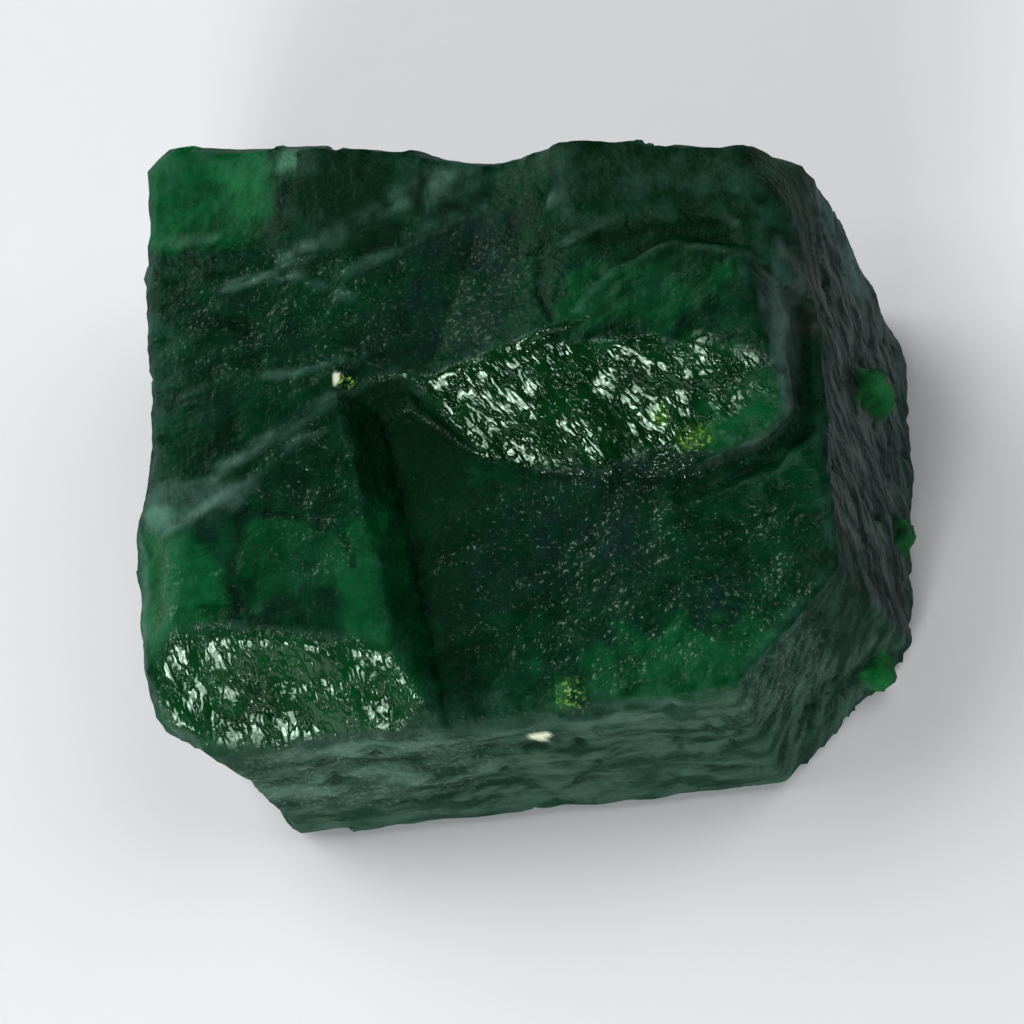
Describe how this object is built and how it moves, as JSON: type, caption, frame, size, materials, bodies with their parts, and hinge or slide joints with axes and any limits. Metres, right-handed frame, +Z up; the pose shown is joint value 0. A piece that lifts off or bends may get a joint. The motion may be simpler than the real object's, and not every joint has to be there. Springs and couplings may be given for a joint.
{
  "type": "raw emerald crystal",
  "caption": "Rough, blocky emerald crystal with broken faces, a stepped top and dusty layered walls; rests on a flat base as a mineral specimen.",
  "frame": {"origin": "centre of the bounding box, on the flat base", "axes": "+X along the longest side, +Y towards the high back edge, +Z up out of the base"},
  "size_m": [0.0242, 0.02, 0.0115],
  "materials": {
    "rough_beryl": "rough emerald: dark green beryl, matt grey-green dust on the walls, glassy broken faces, brighter and translucent at thin corners"
  },
  "bodies": {
    "root": {"emerald_crystal": "rough_beryl"}
  },
  "joints": []
}
